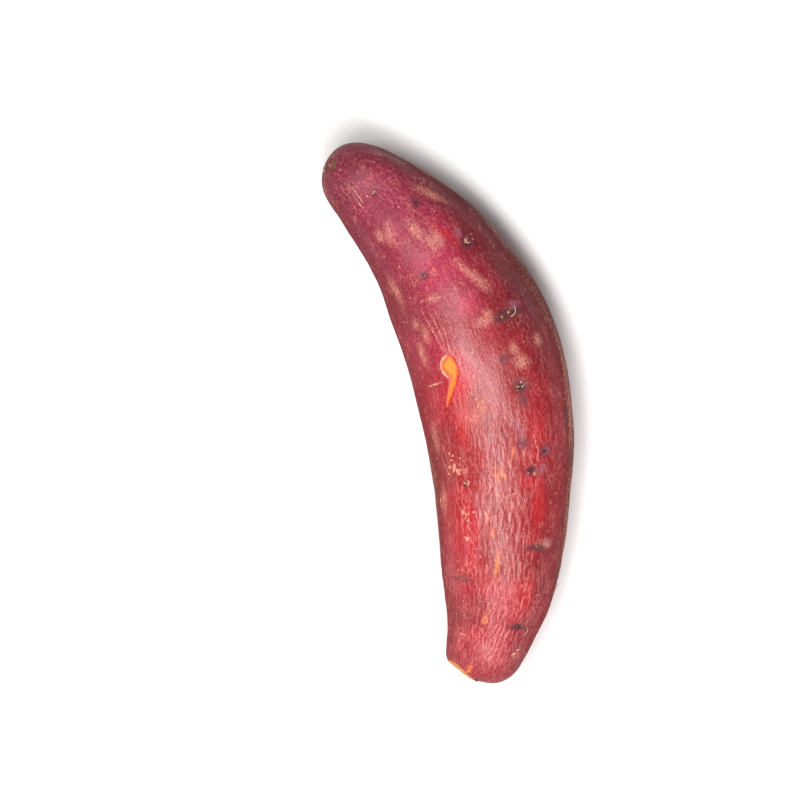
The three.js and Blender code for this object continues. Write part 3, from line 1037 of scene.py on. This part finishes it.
def skin_ground(tree, noises):
    """The red ground: its broad zones, then streaks, folds, fine mottling, and the deep zones once
    more.
    """
    colour = mix(tree, mark(tree, "magenta"), ORANGE_RED, MAGENTA)
    colour = mix(tree, maths(tree, "MULTIPLY", mark(tree, "rosy"), 0.8), colour, DULL_ROSE)
    # The deep mark darkens the flanks: partly the skin's crimson, partly painted shade.
    colour = mix(tree, mark(tree, "deep"), colour, DEEP_CRIMSON_AND_SHADE)
    colour = mix(tree, mark(tree, "dull"), colour, DULL_PLUM)
    colour = tint(tree, colour, noises["blotch"], 0.40, 0.75, 0.30, DEEP_CRIMSON_AND_SHADE)
    # The folds' crests, the ridges and the streaks' high lines are tinted pale pink and the valleys
    # dark red: partly the skin's own colour, partly a painted highlight on the crests and painted
    # shade in the valleys.
    colour = tint(tree, colour, noises["streak"], 0.52, 0.76, 0.45, PINK_AND_CREST_HIGHLIGHT)
    colour = tint(tree, colour, noises["streak"], 0.48, 0.28, 0.50, RED_AND_VALLEY_SHADE)
    colour = mix(tree, maths(tree, "MULTIPLY", noises["ridge"], 0.5), colour, PINK_AND_CREST_HIGHLIGHT)
    crest = mark(tree, "crest")
    colour = tint(tree, colour, crest, 0.60, 0.84, 0.55, PINK_AND_CREST_HIGHLIGHT)
    colour = tint(tree, colour, crest, 0.44, 0.20, 0.70, RED_AND_VALLEY_SHADE)
    colour = tint(tree, colour, noises["fine"], 0.48, 0.72, 0.30, PINK_AND_CREST_HIGHLIGHT)
    colour = tint(tree, colour, noises["speck"], 0.54, 0.72, 0.35, PINK_AND_CREST_HIGHLIGHT)
    colour = tint(tree, colour, noises["speck"], 0.47, 0.30, 0.45, RED_AND_VALLEY_SHADE)
    # The deep mark darkens the flanks once more, again partly painted shade.
    return mix(tree, maths(tree, "MULTIPLY", mark(tree, "deep"), 0.45), colour, DEEP_CRIMSON_AND_SHADE)


def add_dust(tree, colour, noises):
    """The tan dust of the flanks, in specks that crowd together towards the rim, where their tan is
    partly a painted reflection; a pale band along the outer rim that is a painted reflection; and a
    pale net.
    """
    dusty = mark(tree, "dusty")
    colour = mix(tree, maths(tree, "MULTIPLY", dusty, 0.8), colour, DUST_BROWN)
    crowd = maths(tree, "MULTIPLY_ADD", dusty, 0.28, noises["speck"])
    colour = tint(tree, colour, crowd, 0.66, 0.94, 0.60, DUST_TAN_AND_REFLECTION)
    # A painted reflection along the outer rim.
    rim_dust_and_reflection = maths(tree, "MULTIPLY_ADD", mark(tree, "painted_rim_reflection"), 0.36, noises["speck"])
    colour = tint(tree, colour, rim_dust_and_reflection, 0.70, 0.98, 0.62, RIM_REFLECTION_TAN)
    net = ramp(tree, cells(tree, 1.3, 1.7, "DISTANCE_TO_EDGE"), 0.10, 0.02)
    where = ramp(tree, grain(tree, 5.0, 1.5, 3.0, 0.6), 0.50, 0.68, 0.0, 0.38)
    colour = mix(tree, maths(tree, "MULTIPLY", net, where), colour, PALE_NET)
    return tint(tree, colour, cells(tree, 4.2, 1.0, "F1"), 0.10, 0.05, 0.75, PALE_NET)


STRAY = 1.9  # how far outside a mark's edge its last bits lie, in millimetres


def inside(tree, name, noise, reach, soft):
    """A mark's share: 1 inside its edge and 0 outside, with the edge broken up by a noise."""
    level = mark(tree, name)
    shift = maths(tree, "MULTIPLY_ADD", noise, reach, -reach / 2)
    share = ramp(tree, maths(tree, "ADD", level, shift), -soft, soft)
    return maths(tree, "MULTIPLY", share, ramp(tree, level, -STRAY, 0.3))


def skin_material():
    material = bpy.data.materials.new("cooked_skin")
    material.use_nodes = True
    tree = material.node_tree
    shader = tree.nodes["Principled BSDF"]
    noises = skin_noises(tree)
    colour = add_dust(tree, skin_ground(tree, noises), noises)
    satin = ramp(tree, noises["fine"], 0.3, 0.7, *SATIN_ROUGHNESS)
    rough = mix_value(tree, mark(tree, "matte"), satin, MATTE_ROUGHNESS)
    specular = mix_value(tree, mark(tree, "matte"), SATIN_SPECULAR, MATTE_SPECULAR)
    height = 0.0
    for name, rise in RELIEF:
        height = maths(tree, "MULTIPLY_ADD", noises[name], rise, height)
    for name, paint, cover, noise, reach, soft, roughness, crust in LAYERS:
        share = inside(tree, name, noises[noise], reach, soft)
        colour = mix(tree, maths(tree, "MULTIPLY", share, cover), colour, paint)
        rough = mix_value(tree, share, rough, roughness)
        if crust:
            bits = maths(tree, "MULTIPLY", noises["speck"], CRUST_GAIN * crust)
            height = maths(tree, "MULTIPLY_ADD", share, bits, height)
    tree.links.new(colour, shader.inputs["Base Color"])
    tree.links.new(rough, shader.inputs["Roughness"])
    tree.links.new(specular, shader.inputs["Specular IOR Level"])
    bump = add_node(tree, "ShaderNodeBump", {"Height": height, "Distance": MM, "Strength": 1.0})
    tree.links.new(bump.outputs["Normal"], shader.inputs["Normal"])
    return material


def hair_material():
    material = bpy.data.materials.new("root_hair")
    material.use_nodes = True
    tree = material.node_tree
    shader = tree.nodes["Principled BSDF"]
    place = add_node(tree, "ShaderNodeTexCoord").outputs["Object"]
    inputs = {"Vector": place, "Scale": 1 / (0.5 * MM), "Detail": 3.0}
    bits = add_node(tree, "ShaderNodeTexNoise", inputs).outputs["Fac"]
    colour = mix(tree, mark(tree, "pale"), HAIR_DARK, HAIR_PALE)
    colour = tint(tree, colour, bits, 0.4, 0.7, 0.5, HAIR_BARK)
    tree.links.new(colour, shader.inputs["Base Color"])
    tree.links.new(ramp(tree, bits, 0.3, 0.7, 0.5, 0.75), shader.inputs["Roughness"])
    bump = add_node(tree, "ShaderNodeBump", {"Height": bits, "Distance": 0.06 * MM})
    tree.links.new(bump.outputs["Normal"], shader.inputs["Normal"])
    return material


def plain_material(name, colour, roughness):
    material = bpy.data.materials.new(name)
    material.use_nodes = True
    shader = material.node_tree.nodes["Principled BSDF"]
    shader.inputs["Base Color"].default_value = colour
    shader.inputs["Roughness"].default_value = roughness
    return material


# ---------------------------------------------------------------- the studio


def make_camera():
    data = bpy.data.cameras.new("camera")
    data.sensor_width = SENSOR
    data.lens = SENSOR * (CAMERA_HEIGHT - WIDEST_HEIGHT) / VIEW_WIDTH
    camera = bpy.data.objects.new("camera", data)
    camera.location = (*CAMERA_PLACE, CAMERA_HEIGHT)
    camera.rotation_euler = (0, 0, math.radians(CAMERA_ROLL))
    bpy.context.scene.collection.objects.link(camera)
    bpy.context.scene.camera = camera


def make_softbox(name, place, along, size, energy):
    """A rectangular light at a place, facing the origin, with its long side in a given direction."""
    data = bpy.data.lights.new(name, "AREA")
    data.shape = "RECTANGLE"
    data.size, data.size_y = size
    data.energy = energy
    back = Vector(place).normalized()
    side = Vector(along) - Vector(along).dot(back) * back
    side.normalize()
    light = bpy.data.objects.new(name, data)
    light.matrix_world = Matrix((side, back.cross(side), back)).transposed().to_4x4()
    light.location = place
    bpy.context.scene.collection.objects.link(light)


def make_floor():
    mesh = bpy.data.meshes.new("floor")
    half = FLOOR_HALF_WIDTH
    corners = [(-half, -half, 0), (half, -half, 0), (half, half, 0), (-half, half, 0)]
    mesh.from_pydata(corners, [], [(0, 1, 2, 3)])
    mesh.materials.append(plain_material("pale_floor", FLOOR_WHITE, FLOOR_ROUGHNESS))
    floor = bpy.data.objects.new("floor", mesh)
    bpy.context.scene.collection.objects.link(floor)


def make_studio():
    for softbox in SOFTBOXES:
        make_softbox(*softbox)
    world = bpy.data.worlds.new("studio")
    world.use_nodes = True
    sky = world.node_tree.nodes["Background"]
    sky.inputs["Color"].default_value = (1, 1, 1, 1)
    sky.inputs["Strength"].default_value = SKY_STRENGTH
    bpy.context.scene.world = world
    bpy.context.scene.view_settings.view_transform = "Standard"
    make_floor()


make_camera()
make_studio()
make_hairs(*make_skin())
